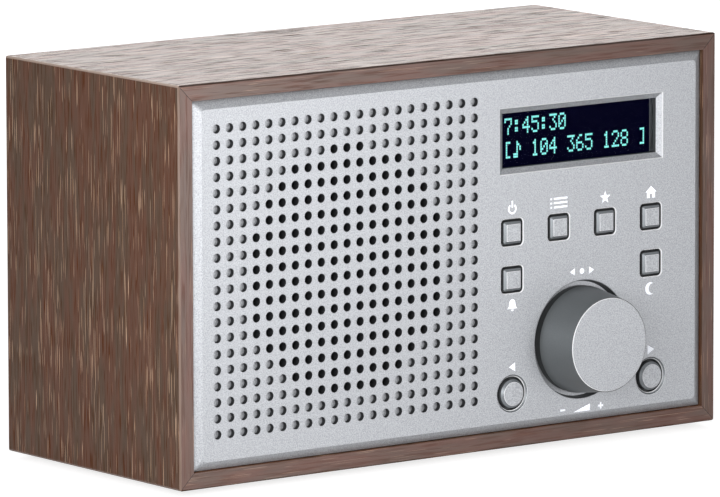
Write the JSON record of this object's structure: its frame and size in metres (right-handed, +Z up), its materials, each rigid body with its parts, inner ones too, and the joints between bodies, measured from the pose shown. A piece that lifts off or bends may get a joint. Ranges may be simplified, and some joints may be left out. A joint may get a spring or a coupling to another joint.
{
  "type": "tabletop radio",
  "caption": "Tabletop radio: wood-veneered box with a silver perforated front, two-line display, push buttons, a turning knob and a folded rear aerial.",
  "frame": {"origin": "on the table, under the middle of the wooden cabinet", "axes": "+Z up, -Y out of the front panel, +X to the right as seen from the front"},
  "size_m": [0.212, 0.114, 0.1277],
  "materials": {
    "walnut_veneer": "satin",
    "pine": "matt",
    "silver_lacquer": "satin metallic",
    "grey_lacquer": "satin metallic",
    "black_plastic": "matt",
    "white_nylon": "satin",
    "rubber": "matt",
    "zinc_steel": "zinc plated",
    "chrome": "polished",
    "brass": "satin",
    "ferrite": "matt",
    "cone_paper": "matt",
    "spider_cloth": "matt",
    "circuit_board": "satin",
    "black_aluminium": "anodised",
    "sleeve_blue": "gloss",
    "cable_grey": "satin",
    "clear_acrylic": "polished",
    "display_black": "gloss"
  },
  "bodies": {
    "radio": {"cabinet_top": "walnut_veneer", "cabinet_bottom": "walnut_veneer", "cabinet_left": "walnut_veneer", "cabinet_right": "walnut_veneer", "front_blocks": "pine", "rear_blocks": "pine", "feet": "rubber", "front_panel": "silver_lacquer", "front_panel_screws": "zinc_steel", "rear_panel": "black_plastic", "rear_panel_screws": "zinc_steel", "speaker_gasket": "rubber", "speaker_basket": "black_plastic", "speaker_surround": "rubber", "speaker_spider": "spider_cloth", "speaker_top_plate": "zinc_steel", "speaker_magnet": "ferrite", "speaker_yoke": "zinc_steel", "speaker_screws": "zinc_steel", "speaker_leads": "cable_grey", "display_window": "clear_acrylic", "display_frame": "black_plastic", "display_glass": "display_black", "display_backlight": "white_nylon", "display_board": "circuit_board", "display_cable": "cable_grey", "control_board": "circuit_board", "push_switches": "black_plastic", "board_screws": "zinc_steel", "encoder_body": "zinc_steel", "main_board": "circuit_board", "board_spacers": "white_nylon", "radio_module": "chrome", "heat_sink": "black_aluminium", "capacitors": "sleeve_blue", "dc_socket": "black_plastic", "headphone_socket": "black_plastic", "line_socket": "black_plastic", "ribbon_cable": "cable_grey", "aerial_stud": "zinc_steel"},
    "power_button": {"power_button": "silver_lacquer"},
    "menu_button": {"menu_button": "silver_lacquer"},
    "favourite_button": {"favourite_button": "silver_lacquer"},
    "local_button": {"local_button": "silver_lacquer"},
    "alarm_button": {"alarm_button": "silver_lacquer"},
    "sleep_button": {"sleep_button": "silver_lacquer"},
    "previous_button": {"previous_button": "silver_lacquer"},
    "next_button": {"next_button": "silver_lacquer"},
    "cone": {"speaker_cone": "cone_paper", "dust_cap": "cone_paper", "voice_coil": "brass"},
    "encoder_rotor": {"encoder_rotor": "brass"},
    "knob": {"knob": "grey_lacquer", "encoder_shaft": "zinc_steel"},
    "aerial_swivel": {"aerial_base": "black_plastic", "aerial_pin": "chrome"},
    "aerial_arm": {"aerial_outer": "chrome"},
    "aerial_middle": {"aerial_middle": "chrome"},
    "aerial_tip": {"aerial_tip": "chrome"}
  },
  "joints": [
    {"name": "power_press", "type": "slide", "parent": "radio", "child": "power_button", "axis": [0, 1, 0], "range_m": [0, 0.0005], "stiffness_N_per_m": 3000},
    {"name": "menu_press", "type": "slide", "parent": "radio", "child": "menu_button", "axis": [0, 1, 0], "range_m": [0, 0.0005], "stiffness_N_per_m": 3000},
    {"name": "favourite_press", "type": "slide", "parent": "radio", "child": "favourite_button", "axis": [0, 1, 0], "range_m": [0, 0.0005], "stiffness_N_per_m": 3000},
    {"name": "local_press", "type": "slide", "parent": "radio", "child": "local_button", "axis": [0, 1, 0], "range_m": [0, 0.0005], "stiffness_N_per_m": 3000},
    {"name": "alarm_press", "type": "slide", "parent": "radio", "child": "alarm_button", "axis": [0, 1, 0], "range_m": [0, 0.0005], "stiffness_N_per_m": 3000},
    {"name": "sleep_press", "type": "slide", "parent": "radio", "child": "sleep_button", "axis": [0, 1, 0], "range_m": [0, 0.0005], "stiffness_N_per_m": 3000},
    {"name": "previous_press", "type": "slide", "parent": "radio", "child": "previous_button", "axis": [0, 1, 0], "range_m": [0, 0.0005], "stiffness_N_per_m": 3000},
    {"name": "next_press", "type": "slide", "parent": "radio", "child": "next_button", "axis": [0, 1, 0], "range_m": [0, 0.0005], "stiffness_N_per_m": 3000},
    {"name": "cone_travel", "type": "slide", "parent": "radio", "child": "cone", "axis": [0, 1, 0], "range_m": [-0.0015, 0.0015], "stiffness_N_per_m": 1400},
    {"name": "knob_turn", "type": "hinge", "parent": "radio", "child": "encoder_rotor", "pos_m": [0.0512, -0.036, 0.0339], "axis": [0, 1, 0], "continuous": true},
    {"name": "knob_push", "type": "slide", "parent": "encoder_rotor", "child": "knob", "axis": [0, 1, 0], "range_m": [0, 0.0005], "stiffness_N_per_m": 5000},
    {"name": "aerial_turn", "type": "hinge", "parent": "radio", "child": "aerial_swivel", "pos_m": [0.0868, 0.04425, 0.1105], "axis": [0, 1, 0], "range_deg": [0, 180]},
    {"name": "aerial_tilt", "type": "hinge", "parent": "aerial_swivel", "child": "aerial_arm", "pos_m": [0.0868, 0.05035, 0.1105], "axis": [0, 0, -1], "range_deg": [0, 90]},
    {"name": "aerial_extend", "type": "slide", "parent": "aerial_arm", "child": "aerial_middle", "axis": [-1, 0, 0], "range_m": [0, 0.1]},
    {"name": "aerial_tip_extend", "type": "slide", "parent": "aerial_middle", "child": "aerial_tip", "axis": [-1, 0, 0], "range_m": [0, 0.1]}
  ],
  "couplings": [
    {"joint": "aerial_tip_extend", "follows": "aerial_extend", "ratio": 1}
  ]
}
